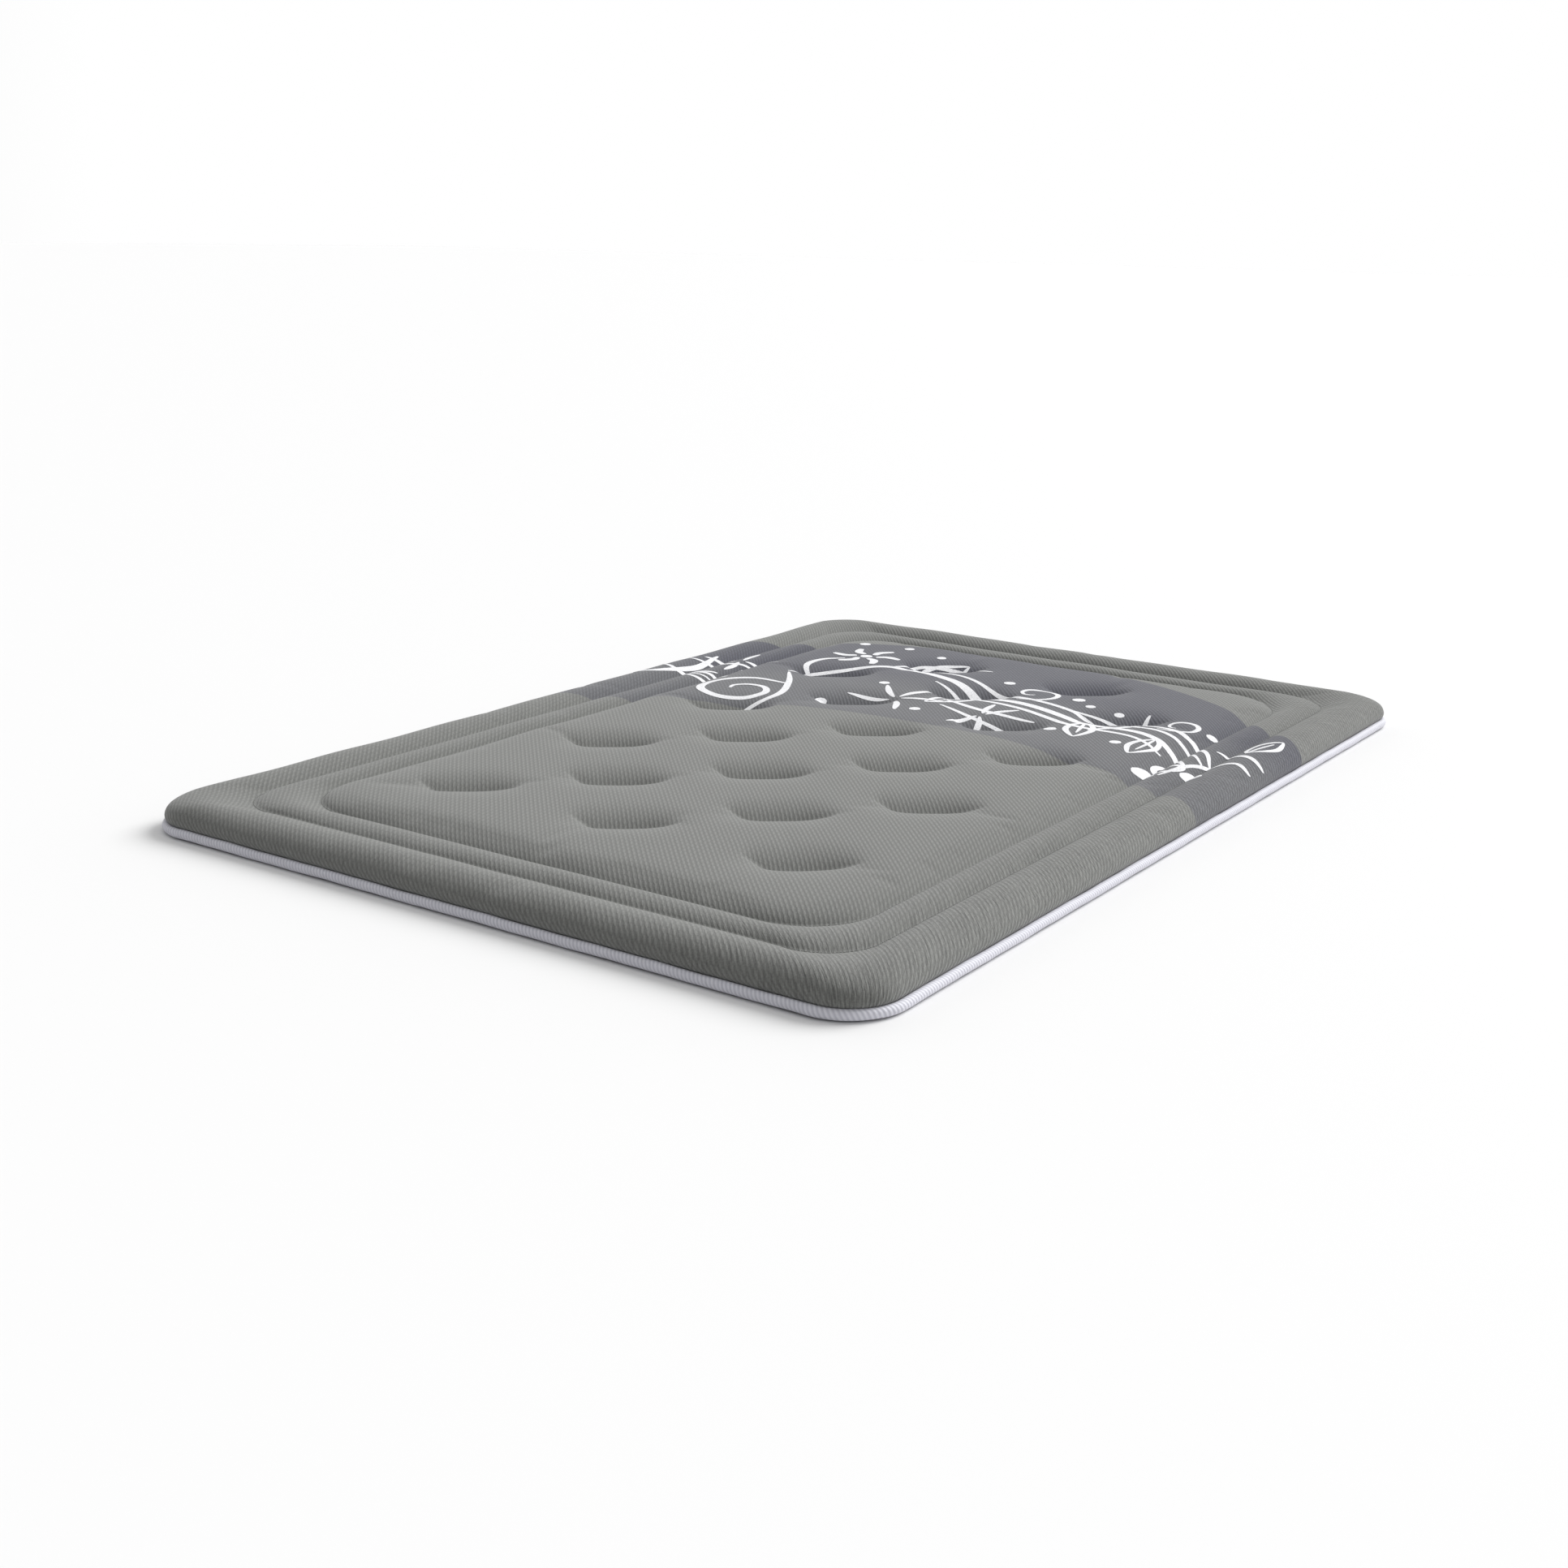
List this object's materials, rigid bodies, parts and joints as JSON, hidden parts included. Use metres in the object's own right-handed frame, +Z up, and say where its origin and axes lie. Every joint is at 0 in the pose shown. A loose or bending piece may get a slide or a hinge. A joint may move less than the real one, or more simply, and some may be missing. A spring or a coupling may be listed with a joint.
{
  "type": "memory foam mattress",
  "caption": "Thin quilted memory foam mattress with a raised double-rolled border, tufted centre panel, white corded piping and a zipped cover.",
  "frame": {"origin": "middle of the underside, on the surface that the mattress lies on", "axes": "+X to the mattress's right side, +Y towards its head end, where the zip is, +Z up"},
  "size_m": [1.35, 2, 0.052],
  "materials": {
    "stretch_knit_grey": "fine grey stretch jersey, matt, printed in light grey, mid grey and slate blue grey with white line art",
    "polyester_fibre": "soft white polyester fibre wadding",
    "non_woven_backing": "thin white non-woven scrim",
    "quilting_thread": "grey polyester sewing thread",
    "sleeve_knit": "thin white jersey",
    "memory_foam": "open-cell viscoelastic polyurethane foam, cream",
    "base_knit": "plain pale grey knit, matt",
    "ribbed_tape_white": "white ribbed tape, slight sheen",
    "piping_filler": "soft white cord",
    "zip_tape": "woven grey polyester tape",
    "nylon_coil": "grey nylon zip coil, satin",
    "zip_metal": "grey metal, satin",
    "label_satin": "white satin ribbon, blank"
  },
  "bodies": {
    "mattress": {"top_cover": "stretch_knit_grey", "quilt_wadding": "polyester_fibre", "quilt_backing": "non_woven_backing", "outer_quilt_thread": "quilting_thread", "inner_quilt_thread": "quilting_thread", "tuft_stitch_01": "quilting_thread", "tuft_stitch_02": "quilting_thread", "tuft_stitch_03": "quilting_thread", "tuft_stitch_04": "quilting_thread", "tuft_stitch_05": "quilting_thread", "tuft_stitch_06": "quilting_thread", "tuft_stitch_07": "quilting_thread", "tuft_stitch_08": "quilting_thread", "tuft_stitch_09": "quilting_thread", "tuft_stitch_10": "quilting_thread", "tuft_stitch_11": "quilting_thread", "tuft_stitch_12": "quilting_thread", "tuft_stitch_13": "quilting_thread", "tuft_stitch_14": "quilting_thread", "tuft_stitch_15": "quilting_thread", "tuft_stitch_16": "quilting_thread", "tuft_stitch_17": "quilting_thread", "tuft_stitch_18": "quilting_thread", "tuft_stitch_19": "quilting_thread", "tuft_stitch_20": "quilting_thread", "foam_sleeve": "sleeve_knit", "memory_foam_core": "memory_foam", "bottom_panel": "base_knit", "edge_seam_thread": "quilting_thread", "piping_tape": "ribbed_tape_white", "piping_cord": "piping_filler", "zip_tape_upper": "zip_tape", "zip_tape_lower": "zip_tape", "zip_chain_upper": "nylon_coil", "zip_chain_lower": "nylon_coil", "zip_stop_closed_end": "zip_metal", "zip_stop_open_end": "zip_metal", "care_label": "label_satin"},
    "slider": {"zip_slider": "zip_metal"},
    "pull": {"zip_pull": "zip_metal"}
  },
  "joints": [
    {"name": "zip_travel", "type": "slide", "parent": "mattress", "child": "slider", "axis": [-1, 0, 0], "range_m": [0, 1.108]},
    {"name": "pull_swing", "type": "hinge", "parent": "slider", "child": "pull", "pos_m": [0.555, 0.9894, 0.0212], "axis": [0, 0, -1], "range_deg": [0, 175]}
  ]
}
